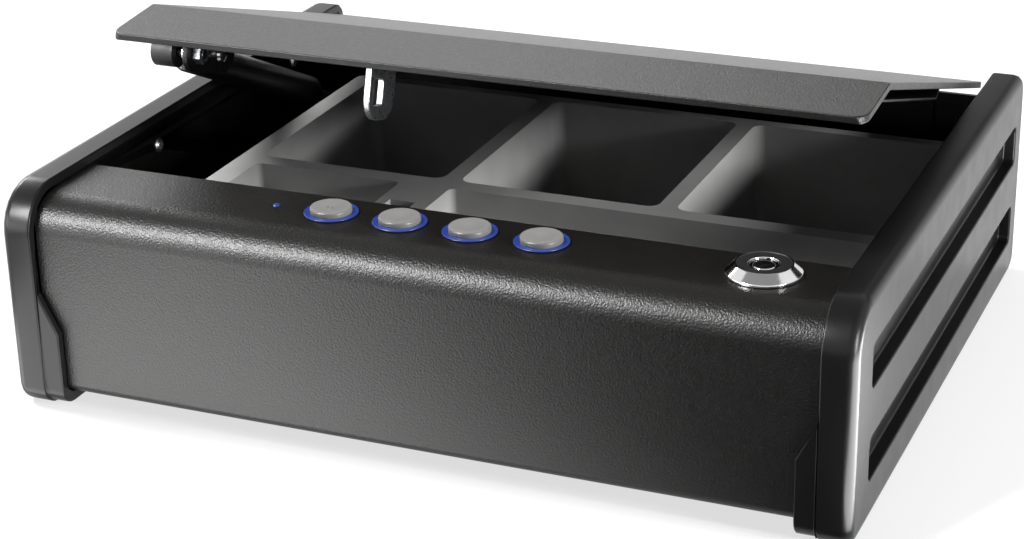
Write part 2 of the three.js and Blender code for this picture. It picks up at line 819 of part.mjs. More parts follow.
// Bracket, ball stud and nut that carry the upper end of the gas strut
function addStrutBracket(parent) {
  const top = lidRise - lidSheet - gap;
  const front = studY - bracketAhead;
  const rear = studY + bracketBehind;
  const low = studZ - bracketEndRadius;
  const plate = prismX(roundedOutline([
    [front, low, bracketEndRadius - gap],
    [rear, low, bracketEndRadius - gap],
    [rear, top],
    [front, top],
  ]), bracketX, bracketX + bracketSheet);
  const flange = block(bracketX + bracketSheet / 2, bracketX + bracketSheet + bracketFlange,
    front + bracketSheet, rear - bracketSheet, top - bracketSheet, top);
  const rivetY = rear - bracketEndRadius - nutAcross / 2;
  const holes = [studY, rivetY].map((y) =>
    rodX(ballNeckRadius + gap, bracketX - overrun, bracketX + overrun / 2, smallSides)
      .translate([0, y, studZ]));
  addPiece(parent, 'strut_bracket', cut(joined(plate, flange), ...holes), blackPowder());
  addBallStud(parent);
  addBracketRivet(parent, rivetY);
}

function ball(x) {
  return toSolid(new THREE.SphereGeometry(ballRadius, smallSides, postSides)).translate([x, 0, 0]);
}

function addBallStud(parent) {
  const tail = bracketX + bracketSheet + nutThickness + gap * 2;
  const stud = joined(
    ball(strutX),
    rodX(ballNeckRadius, strutX, tail, smallSides),
    rodX(ballNeckRadius * 2, bracketX - gap - ballNeckRadius, bracketX - gap, smallSides));
  addPiece(parent, 'lid_ball_stud', stud.translate([0, studY, studZ]), chrome());
  const hex = prismZ(hexagon(nutAcross), 0, nutThickness);
  const nut = cut(hex, rodZ(ballNeckRadius + gap, -overrun, overrun, smallSides));
  addPiece(parent, 'ball_stud_nut',
    nut.rotate([0, 90, 0]).translate([bracketX + bracketSheet + gap, studY, studZ]), zinc());
}

function addBracketRivet(parent, y) {
  const head = ballNeckRadius * rivetHeadShare;
  const dome = rivetDomeShares.map(([across, up]) => [head * across, ballNeckRadius * up]);
  const profile = [
    [0, -bracketSheet], [ballNeckRadius, -bracketSheet], [ballNeckRadius, gap], [head, gap], ...dome,
  ];
  const rivet = turned(profile, smallSides).rotate([0, 90, 0]);
  addPiece(parent, 'bracket_rivet', rivet.translate([bracketX + bracketSheet, y, studZ]), chrome());
}

function addLid(parent) {
  const lid = new THREE.Group();
  lid.position.set(0, hingeY, hingeZ);
  lid.rotation.x = -restAngle;
  addLidPanel(lid);
  addLidStiffener(lid);
  addStrikeTongue(lid);
  addLidHingeLeaf(lid);
  addStrutBracket(lid);
  parent.add(lid);
}

function addHinge(parent) {
  const hinge = new THREE.Group();
  hinge.position.set(0, hingeY, hingeZ);
  addBodyHingeLeaf(hinge);
  addHingePin(hinge);
  parent.add(hinge);
}

// Gas strut between the lid bracket and the left side wall
function strutEnds() {
  const hinge = new THREE.Vector2(hingeY, hingeZ);
  const closedEnd = new THREE.Vector2(studY, studZ);
  const lidEnd = closedEnd.clone().rotateAround(new THREE.Vector2(), -restAngle).add(hinge);
  const bodyEnd = new THREE.Vector2(-strutBodyBack, -strutBodyDrop);
  const closedLength = closedEnd.distanceTo(bodyEnd);
  return { lidEnd, bodyEnd: bodyEnd.add(hinge), closedLength };
}

// An end fitting round a ball at the origin, open towards one side along X
function ballSocket(openSide) {
  const body = rodX(socketRadius, -socketDepth, socketDepth);
  const mouth = rodX(ballNeckRadius + ballClearance * 2, 0, overrun);
  const trim = block(ballRadius, overrun, -overrun, overrun, -overrun, overrun);
  const shank = rodZ(shankRadius, socketRadius / 2, strutTubeStart - gap);
  const hollow = toSolid(new THREE.SphereGeometry(ballRadius + ballClearance, smallSides, postSides));
  const socket = cut(joined(body, shank), trim, mouth, hollow);
  return openSide > 0 ? socket : mirroredX(socket);
}

function addStrut(parent) {
  const { lidEnd, bodyEnd, closedLength } = strutEnds();
  const run = bodyEnd.clone().sub(lidEnd).normalize();
  const tilt = Math.atan2(-run.x, run.y);
  const upper = new THREE.Group();
  upper.position.set(strutX, lidEnd.x, lidEnd.y);
  upper.rotation.x = tilt;
  const tubeEnd = closedLength - strutTubeStart - strutCollarGap;
  const rodLength = closedLength - strutTubeStart - strutTubePlug - strutEndPlay;
  const chamfer = strutRadius - strutBore;
  const tube = turned([
    [0, strutTubeStart],
    [strutRadius - chamfer, strutTubeStart],
    [strutRadius, strutTubeStart + chamfer],
    [strutRadius, tubeEnd - chamfer],
    [strutRadius - chamfer / 2, tubeEnd],
    [strutBore, tubeEnd],
    [strutBore, strutTubeStart + strutTubePlug],
    [0, strutTubeStart + strutTubePlug],
  ]);
  addPiece(upper, 'strut_cylinder', tube, blackPowder());
  addPiece(upper, 'strut_lid_socket', ballSocket(1), darkPlastic());
  const lower = new THREE.Group();
  lower.position.set(strutX, bodyEnd.x, bodyEnd.y);
  lower.rotation.x = tilt + Math.PI;
  addPiece(lower, 'strut_rod', rodZ(rodRadius, strutTubeStart, rodLength, smallSides), chrome());
  addPiece(lower, 'strut_body_socket', ballSocket(-1), darkPlastic());
  parent.add(upper, lower);
  const base = rodX(ballNeckRadius * 2, -capInnerX, -capInnerX + ballNeckRadius, smallSides);
  const stud = joined(ball(strutX), rodX(ballNeckRadius, -capInnerX, strutX, smallSides), base);
  addPiece(parent, 'wall_ball_stud', stud.translate([0, bodyEnd.x, bodyEnd.y]), chrome());
}

// Buttons, light rings and status lamp on the ledge

// A round button with a dished top and the stem that presses its switch
function buttonSolid() {
  const top = ledgeZ + buttonRise;
  const low = ledgeZ - buttonSkirt;
  const stemBottom = ledgeUnder - keypadBoardDrop + boardThickness + switchHeight + buttonTravel + gap;
  const round = buttonEdge * buttonRoundShare;
  const dishInner = (buttonRadius - buttonEdge - buttonEdge / 2) * buttonDishInnerShare;
  return turned([
    [0, stemBottom],
    [stemRadius, stemBottom],
    [stemRadius, low],
    [buttonRadius, low],
    [buttonRadius, top - buttonEdge],
    [buttonRadius - round, top - round],
    [buttonRadius - buttonEdge, top],
    [dishInner, top - buttonDish * (1 - buttonDishRiseShare)],
    [0, top - buttonDish],
  ]);
}

// The raised dot that lets a finger find the first button
function buttonPip() {
  const base = ledgeZ + buttonRise - buttonDish;
  return turned([
    [0, base - pipRise],
    [pipRadius, base - pipRise],
    [pipRadius, base + pipRise / 2],
    [pipRadius / 2, base + pipRise],
    [0, base + pipRise],
  ], postSides);
}

function ringSolid() {
  const seat = ledgeZ + gap;
  const bore = buttonRadius + gap;
  return turned([
    [bore, ledgeUnder],
    [ringBody, ledgeUnder],
    [ringBody, seat],
    [ringRadius, seat],
    [ringRadius - ringLip / 2, seat + ringLip],
    [bore, seat + ringLip],
    [bore, ledgeUnder],
  ]);
}

function addButtons(parent) {
  const button = buttonSolid();
  const buttonWithPip = button.add(buttonPip());
  const ring = ringSolid();
  for (let index = 0; index < buttonCount; index += 1) {
    const place = [buttonX(index), controlsY, 0];
    const solid = index === 0 ? buttonWithPip : button;
    addPiece(parent, `button_${index + 1}`, solid.translate(place), buttonPlastic());
    addPiece(parent, `light_ring_${index + 1}`, ring.translate(place), blueLight());
  }
}

// Keypad under the ledge: a frame on four posts over a board with one switch for each button
function keypadPlan() {
  return {
    left: statusLampX - keypadMargin,
    right: buttonX(buttonCount - 1) + ringRadius + keypadMargin,
    front: controlsY - keypadHalfDepth,
    rear: controlsY + keypadHalfDepth,
    boardTop: ledgeUnder - keypadBoardDrop + boardThickness,
  };
}

function keypadSheet(plan, fromZ, toZ) {
  return prismZ(roundedRectangle(plan.left, plan.front, plan.right, plan.rear,
    Array(4).fill(grooveCornerRadius)), fromZ, toZ);
}

// Four posts, one at each corner of a plan
function cornerPosts(plan, inset, fromZ, toZ) {
  const post = rodZ(inset - gap, fromZ, toZ, postSides);
  const xs = [plan.left + inset, plan.right - inset];
  const ys = [plan.front + inset, plan.rear - inset];
  return xs.flatMap((x) => ys.map((y) => post.translate([x, y, 0])));
}

function addKeypadFrame(parent, plan) {
  const top = ledgeUnder - gap;
  const bottom = top - keypadFrameThickness;
  const posts = cornerPosts(plan, switchSize / 2, plan.boardTop + gap, bottom + gap);
  const buttonHole = rodZ(buttonRadius + gap, bottom - gap, safeHeight, mediumSides);
  const lampHole = rodZ(statusLampRadius * lampRiseShare + gap, bottom - gap, safeHeight, smallSides);
  const holes = Array.from({ length: buttonCount }, (_, index) =>
    buttonHole.translate([buttonX(index), controlsY, 0]));
  const frame = cut(joined(keypadSheet(plan, bottom, top), ...posts),
    ...holes, lampHole.translate([statusLampX, controlsY, 0]));
  addPiece(parent, 'keypad_frame', frame, darkPlastic());
}

function addKeypadBoard(parent, plan) {
  const half = switchSize / 2;
  const key = block(-half, half, controlsY - half, controlsY + half,
    plan.boardTop - boardThickness / 2, plan.boardTop + switchHeight);
  const keys = Array.from({ length: buttonCount }, (_, index) => key.translate([buttonX(index), 0, 0]));
  const board = keypadSheet(plan, plan.boardTop - boardThickness, plan.boardTop);
  addPiece(parent, 'keypad_board', joined(board, ...keys), boardGreen());
}

function addStatusLamp(parent, plan) {
  const base = plan.boardTop + gap;
  const collar = statusLampRadius * lampCollarShare;
  const collarTop = plan.boardTop + 2 * statusLampRadius;
  const lamp = turned([
    [0, base],
    [collar, base],
    [collar, collarTop],
    [statusLampRadius, collarTop],
    [statusLampRadius, ledgeZ],
    [statusLampRadius * lampTipShare, ledgeZ + ringLip],
    [0, ledgeZ + ringLip * lampRiseShare],
  ], smallSides);
  addPiece(parent, 'status_lamp', lamp.translate([statusLampX, controlsY, 0]), blueLight());
}

function addKeypad(parent) {
  const plan = keypadPlan();
  addKeypadFrame(parent, plan);
  addKeypadBoard(parent, plan);
  addStatusLamp(parent, plan);
}

// Round key lock: a housing with a conical bezel, a nut under the ledge and a turning plug

function addLockHousing(parent) {
  const seat = ledgeZ + gap;
  const bore = plugRadius + plugClearance;
  const sunkZ = lockFaceZ - bezelFaceSink;
  const housing = turned([
    [bore, barrelBottom],
    [barrelRadius, barrelBottom],
    [barrelRadius, seat],
    [bezelRadius, seat],
    [bezelRadius, seat + bezelEdge],
    [bezelFaceRadius, lockFaceZ],
    [bezelFaceRadius - bezelFaceRim, lockFaceZ],
    [bezelFaceRadius - bezelFaceRim - bezelFaceSlope, sunkZ],
    [bore, sunkZ],
    [bore, barrelBottom],
  ]);
  addPiece(parent, 'lock_housing', housing, chrome());
}

function addLockNut(parent) {
  const top = ledgeUnder - gap;
  const hex = prismZ(hexagon(lockNutAcross), top - lockNutThickness, top);
  addPiece(parent, 'lock_nut', cut(hex, rodZ(barrelRadius + gap, -overrun, safeHeight)), zinc());
}

// The plug has a ring-shaped keyway and a notch that the key's tab goes into
function addLockPlug(parent) {
  const top = lockFaceZ - plugSink;
  const low = top - keywayDepth;
  const keyway = turned([
    [keywayInner, low],
    [keywayOuter, low],
    [keywayOuter, top + overrun],
    [keywayInner, top + overrun],
    [keywayInner, low],
  ]);
  const notch = block(-keyNotchWidth / 2, keyNotchWidth / 2, keywayInner, plugRadius + overrun,
    top - keyNotchWidth, top + overrun);
  addPiece(parent, 'lock_plug', cut(rodZ(plugRadius, plugBottom, top), keyway, notch), zinc());
}

// A disc under the plug with an eccentric pin that moves the bolt bar
function addLockCam(parent) {
  const top = plugBottom - gap;
  const disc = rodZ(camRadius, top - camThickness, top);
  const pin = rodZ(drivePinRadius, plateTop + gap * 2, top - camThickness / 2, smallSides)
    .translate([drivePinX - lockX, drivePinY - controlsY, 0]);
  addPiece(parent, 'lock_cam', joined(disc, pin), zinc());
}

function addLock(parent) {
  const lock = new THREE.Group();
  lock.position.set(lockX, controlsY, 0);
  addLockHousing(lock);
  addLockNut(lock);
  addLockPlug(lock);
  addLockCam(lock);
  parent.add(lock);
}

// Bolt bar: a flat bar with an upturned arm and nose at the strike, and a slotted foot at the lock

// The nose that enters the strike, with a slant on its leading corner
function boltNose() {
  const halfY = strikeSlotWidth / 2 - 2 * boltClearance;
  const root = boltArmLeft + boltArmThickness / 2;
  return prismZ([
    new THREE.Vector2(boltTip, boltY - halfY / 2),
    new THREE.Vector2(boltTip + halfY / 2, boltY - halfY),
    new THREE.Vector2(root, boltY - halfY),
    new THREE.Vector2(root, boltY + halfY),
    new THREE.Vector2(boltTip, boltY + halfY),
  ], boltBottom, boltTop);
}

// The slot that the eccentric pin of the cam works in
function camSlot(barTop) {
  const half = drivePinRadius + gap;
  return prismZ(roundedRectangle(
    drivePinX - half, controlsY - camEccentric - half, drivePinX + half, drivePinY + half,
    Array(4).fill(drivePinRadius)), barHeight - overrun, barTop + overrun);
}

// A slot as long as the bolt's travel, for one guide screw
function guideSlot(x, barTop) {
  const half = guideScrewRadius + gap;
  return prismZ(roundedRectangle(x - half, boltY - half, x + half + boltTravel, boltY + half,
    Array(4).fill(guideScrewRadius)), barHeight - overrun, barTop + gap);
}

function addBoltBar(parent) {
  const barTop = barHeight + barThickness;
  const front = boltY - barWidth / 2;
  const rear = boltY + barWidth / 2;
  const footLeft = drivePinX - barWidth / 2;
  const footRight = drivePinX + barWidth / 2;
  const strip = block(boltArmLeft, footRight, front, rear, barHeight, barTop);
  const foot = block(footLeft, footRight, controlsY - camRadius - barWidth / 4, boltY, barHeight, barTop);
  const arm = block(boltArmLeft, boltArmRight, front, rear, barHeight, boltTop);
  const tabBottom = plungerZ - plungerRadius - gap;
  const tab = block(tabX, tabX + barThickness, boltY - tabWidth / 2, boltY + tabWidth / 2,
    tabBottom, barTop);
  const plungerHole = rodX(plungerNeckRadius + gap, tabX - overrun / 2, tabX + overrun / 2, smallSides)
    .translate([0, boltY, plungerZ]);
  const slots = [camSlot(barTop), ...guideScrewXs().map((x) => guideSlot(x, barTop))];
  const bar = cut(joined(strip, foot, arm, boltNose(), tab), ...slots, plungerHole);
  addPiece(parent, 'bolt_bar', bar, zinc());
}

function guideScrewXs() {
  return [solenoidX + solenoidLength + barWidth, lockX - 2 * barWidth - boltTravel];
}

function addGuideScrews(parent) {
  guideScrewXs().forEach((x, index) => {
    const headBottom = barHeight + barThickness + gap;
    const screw = joined(
      rodZ(guideScrewRadius, plateUnder - plateSheet, headBottom + gap, smallSides),
      rodZ(guideHeadRadius, headBottom, headBottom + guideScrewRadius, smallSides));
    addPiece(parent, `guide_screw_${index + 1}`, screw.translate([x, boltY, 0]), zinc());
  });
}

function addMechanismPlate(parent) {
  const path = [
    [coverRearY - plateSetback, floorZ + gap],
    [coverRearY - plateSetback, plateTop, ledgeBendRadius],
    [frontY + plateFront, plateTop, ledgeBendRadius],
    [frontY + plateFront, floorZ + gap],
  ];
  const plate = prismX(sheetOutline(path, plateSheet),
    housingLeft - plateMargin, capInnerX - plateSideGap);
  const under = plateUnder - plateSheet;
  const tabSlot = block(tabX - boltTravel - 2 * gap, tabX + barThickness + 2 * gap,
    boltY - tabWidth / 2 - 2 * gap, boltY + tabWidth / 2 + 2 * gap, under, safeHeight);
  const screwHoles = guideScrewXs().map((x) =>
    rodZ(guideScrewRadius + gap, under, safeHeight, smallSides).translate([x, boltY, 0]));
  addPiece(parent, 'mechanism_plate', cut(plate, tabSlot, ...screwHoles), zinc());
}

// Housing round the bolt and the strike: an upside-down box with a slot on top for the tongue
function addLatchHousing(parent) {
  const front = housingFrontY;
  const rear = housingRearY;
  const outer = block(housingLeft, housingRight, front, rear, barHeight, housingTop);
  const inner = block(housingLeft + housingWall, housingRight - housingWall,
    front + housingWall, rear - housingWall, plateTop - overrun, housingTop - housingWall);
  const mouth = block(tongueLeft - boltClearance, tongueRight + boltClearance,
    front + housingWall, rear - housingWall, plateTop, safeHeight);
  const barWay = block(boltArmLeft, housingRight + overrun,
    boltY - barWidth / 2 - gap, boltY + barWidth / 2 + gap,
    plateTop - overrun, barHeight + barThickness + 2 * gap);
  addPiece(parent, 'latch_housing', cut(outer, inner, mouth, barWay), darkPlastic());
}

// Solenoid that pushes and pulls the bolt bar through its plunger
function addSolenoid(parent) {
  const top = plateUnder - gap;
  const frame = prismX(roundedRectangle(
    boltY - solenoidWidth / 2, top - solenoidHeight, boltY + solenoidWidth / 2, top,
    Array(4).fill(bodySheet)), solenoidX, solenoidX + solenoidLength);
  const bore = rodX(plungerRadius + gap, solenoidX - overrun, solenoidX + solenoidLength - bodySheet)
    .translate([0, boltY, plungerZ]);
  addPiece(parent, 'solenoid_body', cut(frame, bore), darkPlastic());
  const head = tabX - gap;
  const plunger = joined(
    rodX(plungerRadius, head - bodySheet, head, smallSides),
    rodX(plungerNeckRadius, head - gap, tabX + barThickness + 2 * gap, smallSides),
    rodX(plungerRadius, tabX + barThickness + gap, solenoidX + solenoidLength / 2, smallSides));
  addPiece(parent, 'solenoid_plunger', plunger.translate([0, boltY, plungerZ]), zinc());
}

function addControlBoard(parent) {
  const plan = {
    left: solenoidX + solenoidLength + barWidth,
    right: lockX - barWidth,
    front: frontY + plateFront + barWidth,
    rear: coverRearY - plateSetback - barWidth,
  };
  const boardZ = floorZ + switchSize;
  const sheet = block(plan.left, plan.right, plan.front, plan.rear, boardZ, boardZ + boardThickness);
  const posts = cornerPosts(plan, switchSize / 2, floorZ + gap, boardZ + gap);
  const middleX = (plan.left + plan.right) / 2;
  const middleY = (plan.front + plan.rear) / 2;
  const chip = block(middleX - switchSize, middleX + switchSize, middleY - switchSize, middleY + switchSize,
    boardZ + boardThickness / 2, boardZ + boardThickness + switchHeight);
  addPiece(parent, 'control_board', joined(sheet, ...posts, chip), boardGreen());
}

// Four cells in a holder that opens downwards, closed by a cover that slides in two rails

// A cell that lies along X from the origin, with its raised end last
function cellSolid() {
  const [foot, tip] = cellTipShares.map((share) => cellRadius * share);
  return turned([
    [0, 0],
    [cellRadius, 0],
    [cellRadius, cellLength - holderWall],
    [foot, cellLength - holderWall],
    [tip, cellLength - gap],
    [0, cellLength - gap],
  ], smallSides).rotate([0, 90, 0]);
}

// The middle of a cell, counted from the front
function cellY(box, index) {
  return box.front + holderWall + cellPitch * (index + 1 / 2);
}

// The cells lie head to tail, as they are joined in series
function addCells(parent, box, cellZ) {
  const cell = cellSolid();
  const cellBack = mirroredX(cell);
  for (let index = 0; index < cellCount; index += 1) {
    const toRight = index % 2 === 0;
    const start = toRight ? box.left + holderWall + gap : box.right - holderWall - gap;
    const solid = (toRight ? cell : cellBack).translate([start, cellY(box, index), cellZ]);
    addPiece(parent, `battery_${index + 1}`, solid, cellSleeve());
  }
}

// A rib that hangs between two cells
function holderRib(box, index, cellZ, top) {
  const y = cellY(box, index) + cellPitch / 2;
  const half = (cellPitch / 2 - cellRadius) / 2;
  return block(box.left + holderWall / 2, box.right - holderWall / 2, y - half, y + half,
    cellZ + cellRadius * cellRibShare, top - holderWall / 2);
}

function addBatteries(parent) {
  const box = batteryBox();
  const low = floorZ + gap;
  const cellZ = low + cellRadius + gap;
  const top = cellZ + cellRadius + gap + holderWall;
  const outer = block(box.left, box.right, box.front, box.rear, low, top);
  const inner = block(box.left + holderWall, box.right - holderWall,
    box.front + holderWall, box.rear - holderWall, low - overrun, top - holderWall);
  const ribs = Array.from({ length: cellCount - 1 }, (_, index) => holderRib(box, index, cellZ, top));
  addPiece(parent, 'battery_holder', joined(cut(outer, inner), ...ribs), darkPlastic());
  addCells(parent, box, cellZ);
  addBatteryCover(parent, box);
}

function addBatteryCover(parent, box) {
  const top = bodyLift - gap;
  let cover = block(box.left + gap, box.right - gap, box.front, box.rear, top - doorSheet, top);
  const gripX = box.right - 3 * doorMargin;
  const gripHalf = (box.rear - box.front) / 6;
  const gripY = (box.front + box.rear) / 2;
  for (let index = 0; index < gripRibs; index += 1) {
    const x = gripX - index * doorMargin;
    cover = cover.add(block(x - railSheet / 2, x + railSheet / 2, gripY - gripHalf, gripY + gripHalf,
      top - doorSheet - railSheet, top - doorSheet / 2));
  }
  addPiece(parent, 'battery_cover', cover, darkPlastic());
}

// Organiser tray: one thin moulding with two shallow troughs in front and three deep compartments

// A moulded hollow: rounded corners, and sides that draw in towards the floor
function trayHollow(place, spread, top) {
  const { left, front, right, rear, floor, radius } = place;
  const bottom = floor - spread;
  const outline = roundedRectangle(left - spread, front - spread, right + spread, rear + spread,
    Array(4).fill(radius + spread));
  const geometry = extruded(outline, top - bottom).translate(0, 0, bottom);
  const position = geometry.attributes.position;
  const middleX = (left + right) / 2;
  const middleY = (front + rear) / 2;
  const halfX = (right - left) / 2 + spread;
  const halfY = (rear - front) / 2 + spread;
  for (let index = 0; index < position.count; index += 1) {
    const drawn = (trayRim - position.getZ(index)) * trayDraft;
    position.setX(index, middleX + (position.getX(index) - middleX) * (1 - drawn / halfX));
    position.setY(index, middleY + (position.getY(index) - middleY) * (1 - drawn / halfY));
  }
  return toSolid(geometry);
}

// The three compartments share the width between the side rims, with a divider between each two
function compartmentSpans() {
  const from = trayLeftX + trayLeftRim;
  const width = trayRightX - trayRightRim - from - trayDivider * (compartmentWidthShares.length - 1);
  let left = from;
  return compartmentWidthShares.map((share) => {
    const right = left + width * share;
    const span = { left, right };
    left = right + trayDivider;
    return span;
  });
}

function trayPlaces() {
  const spans = compartmentSpans();
  const trough = {
    front: trayFrontY + trayWall * 2,
    rear: coverRearY,
    floor: trayRim - troughDepth,
    radius: troughRadius,
  };
  const compartment = {
    front: coverRearY + middleWall,
    rear: trayRearY - trayRearRim,
    floor: floorZ + matThickness + trayWall,
    radius: compartmentRadius,
  };
  return [
    { ...trough, left: spans[0].left + trayWall, right: housingLeft - trayHousingGap - trayWall },
    { ...trough, left: housingRight + trayHousingGap + trayWall, right: spans[spans.length - 1].right },
    ...spans.map((span) => ({ ...compartment, ...span })),
  ];
}

// A flat rim with thin-walled cups hanging from it, and a slot that lets the tongue down to the latch
function addTray(parent) {
  const rim = prismZ(roundedRectangle(trayLeftX, trayFrontY, trayRightX, trayRearY,
    Array(4).fill(compartmentRadius)), trayRim - trayWall, trayRim);
  const cups = trayPlaces().map((place) => trayHollow(place, trayWall, trayRim));
  const hollows = trayPlaces().map((place) => trayHollow(place, 0, trayRim + trayWall));
  const slot = block(tongueLeft - trayWall, tongueRight + tongueSlotRoom, frontY,
    housingRearY - housingWall, floorZ, safeHeight);
  addPiece(parent, 'organiser_tray', cut(joined(rim, ...cups), ...hollows, slot), trayPlastic());
}

const safe = new THREE.Group();
addBodyShell(safe);
addSideWalls(safe);
addEndCaps(safe);
addCapScrews(safe);
addMechanismCover(safe);
addFloorMat(safe);
addLid(safe);
addHinge(safe);
addStrut(safe);
addButtons(safe);
addKeypad(safe);
addLock(safe);
addBoltBar(safe);
addGuideScrews(safe);
addMechanismPlate(safe);
addLatchHousing(safe);
addSolenoid(safe);
addControlBoard(safe);
addBatteries(safe);
addTray(safe);

export default safe;
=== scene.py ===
import json
import math

import bmesh
import bpy
from mathutils import Matrix, Vector


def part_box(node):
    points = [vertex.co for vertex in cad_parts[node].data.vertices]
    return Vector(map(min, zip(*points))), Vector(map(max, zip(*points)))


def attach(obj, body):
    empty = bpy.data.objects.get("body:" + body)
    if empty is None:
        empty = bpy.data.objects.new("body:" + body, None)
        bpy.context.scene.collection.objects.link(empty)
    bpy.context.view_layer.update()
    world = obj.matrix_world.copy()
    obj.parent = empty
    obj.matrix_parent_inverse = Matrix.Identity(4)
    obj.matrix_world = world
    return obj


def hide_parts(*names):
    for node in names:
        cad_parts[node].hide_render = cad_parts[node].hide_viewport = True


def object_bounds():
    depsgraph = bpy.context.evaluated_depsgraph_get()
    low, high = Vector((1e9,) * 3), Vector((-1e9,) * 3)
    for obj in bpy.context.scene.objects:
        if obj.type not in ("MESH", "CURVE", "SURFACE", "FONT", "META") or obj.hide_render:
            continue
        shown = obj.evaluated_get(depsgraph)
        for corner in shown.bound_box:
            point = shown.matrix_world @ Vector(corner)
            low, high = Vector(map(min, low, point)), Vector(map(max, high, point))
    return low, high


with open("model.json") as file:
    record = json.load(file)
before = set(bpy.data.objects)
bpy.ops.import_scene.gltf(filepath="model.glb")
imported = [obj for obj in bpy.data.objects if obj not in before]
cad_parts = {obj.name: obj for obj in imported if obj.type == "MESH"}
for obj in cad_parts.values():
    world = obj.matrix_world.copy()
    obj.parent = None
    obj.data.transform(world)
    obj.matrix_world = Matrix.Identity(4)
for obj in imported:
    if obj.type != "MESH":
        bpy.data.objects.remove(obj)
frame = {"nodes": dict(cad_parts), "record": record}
low_before, high_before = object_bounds()
MM = 0.001


# Materials
# A noise texture stays mostly between these two values, and its variation is spread over them
NOISE_LOW = 0.3
NOISE_HIGH = 0.7


class Shader:
    """A Principled material with its node tree, and short ways to feed it with procedural texture."""

    def __init__(self, name, color, roughness, metallic=0.0, specular=0.5):
        self.material = bpy.data.materials.new(name)
        self.material.use_nodes = True
        self.tree = self.material.node_tree
        self.bsdf = self.tree.nodes["Principled BSDF"]
        self.bsdf.inputs["Base Color"].default_value = (*color, 1)
        self.bsdf.inputs["Roughness"].default_value = roughness
        self.bsdf.inputs["Metallic"].default_value = metallic
        self.bsdf.inputs["Specular IOR Level"].default_value = specular
        self.color = color
        self.roughness = roughness
        self.place = self.tree.nodes.new("ShaderNodeTexCoord").outputs["Object"]
        self.normal = None

    def node(self, kind, **values):
        """A new node. A value is a property of the node, or else the input of that name."""
        made = self.tree.nodes.new(kind)
        for key, value in values.items():
            if hasattr(made, key):
                setattr(made, key, value)
            else:
                made.inputs[key.replace("_", " ")].default_value = value
        return made

    def link(self, source, target):
        self.tree.links.new(source, target)

    def noise(self, scale, detail):
        made = self.node("ShaderNodeTexNoise", Scale=scale, Detail=detail)
        self.link(self.place, made.inputs["Vector"])
        return made.outputs["Fac"]

    def cells(self, scale):
        made = self.node("ShaderNodeTexVoronoi", Scale=scale)
        self.link(self.place, made.inputs["Vector"])
        return made.outputs["Distance"]

    def tint(self, source, share):
        """Varies the colour from a little darker to a little lighter."""
        ramp = self.node("ShaderNodeValToRGB")
        darker, lighter = ramp.color_ramp.elements
        darker.position = NOISE_LOW
        darker.color = (*[part * (1 - share) for part in self.color], 1)
        lighter.position = NOISE_HIGH
        lighter.color = (*[part * (1 + share) for part in self.color], 1)
        self.link(source, ramp.inputs["Fac"])
        self.link(ramp.outputs["Color"], self.bsdf.inputs["Base Color"])

    def rough(self, source, share):
        """Varies the roughness to both sides of its own value."""
        smoothest = self.roughness * (1 - share)
        roughest = self.roughness * (1 + share)
        spread = self.node("ShaderNodeMapRange", From_Min=NOISE_LOW, From_Max=NOISE_HIGH,
                           To_Min=smoothest, To_Max=roughest)
        self.link(source, spread.inputs["Value"])
        self.link(spread.outputs["Result"], self.bsdf.inputs["Roughness"])

    def bump(self, source, depth, strength):
        """Adds relief on top of any relief that is there already."""
        made = self.node("ShaderNodeBump", Strength=strength, Distance=depth)
        self.link(source, made.inputs["Height"])
        if self.normal:
            self.link(self.normal, made.inputs["Normal"])
        self.normal = made.outputs["Normal"]
        self.link(self.normal, self.bsdf.inputs["Normal"])

    def glow(self, color, strength):
        self.bsdf.inputs["Emission Color"].default_value = (*color, 1)
        self.bsdf.inputs["Emission Strength"].default_value = strength


def linear(code):
    """A #rrggbb colour as linear light."""
    parts = [int(code[i:i + 2], 16) / 255 for i in (1, 3, 5)]
    return tuple(p / 12.92 if p <= 0.04045 else ((p + 0.055) / 1.055) ** 2.4 for p in parts)


def powder_coat():
    """Satin black powder coat with a fine orange peel."""
    made = Shader("black_powder_coat", linear("#131211"), roughness=0.34, specular=0.33)
    made.tint(made.noise(scale=70, detail=5), share=0.10)
    made.rough(made.noise(scale=520, detail=3), share=0.10)
    made.bump(made.noise(scale=1150, detail=2), depth=0.24 * MM, strength=0.80)
    made.bump(made.noise(scale=3200, detail=1), depth=0.05 * MM, strength=0.35)
    return made.material


def cap_plastic():
    """Moulded black plastic with a fine spark-eroded grain."""
    made = Shader("moulded_cap_plastic", linear("#101010"), roughness=0.30, specular=0.22)
    made.tint(made.noise(scale=60, detail=4), share=0.10)
    made.rough(made.noise(scale=90, detail=1), share=0.06)
    made.bump(made.cells(scale=1300), depth=0.05 * MM, strength=0.25)
    return made.material


def tray_plastic():
    """Grey moulded plastic, nearly matt."""
    made = Shader("grey_tray_plastic", linear("#9c9c9b"), roughness=0.42, specular=0.18)
    made.tint(made.noise(scale=60, detail=3), share=0.05)
    made.rough(made.noise(scale=240, detail=3), share=0.10)
    made.bump(made.noise(scale=1800, detail=2), depth=0.04 * MM, strength=0.25)
    return made.material


def bare_metal(name, color, roughness):
    """Plated steel with a trace of polishing grain."""
    made = Shader(name, linear(color), roughness, metallic=1.0)
    made.tint(made.noise(scale=60, detail=4), share=0.06)
    made.rough(made.noise(scale=900, detail=2), share=0.25)
    made.bump(made.noise(scale=1600, detail=2), depth=0.004 * MM, strength=0.15)
    return made.material


def black_moulding():
    """Plain black plastic of the small inner parts."""
    made = Shader("black_moulding", linear("#171717"), roughness=0.5, specular=0.4)
    made.tint(made.noise(scale=40, detail=3), share=0.15)
    made.rough(made.noise(scale=240, detail=2), share=0.15)
    made.bump(made.noise(scale=2200, detail=2), depth=0.03 * MM, strength=0.3)
    return made.material


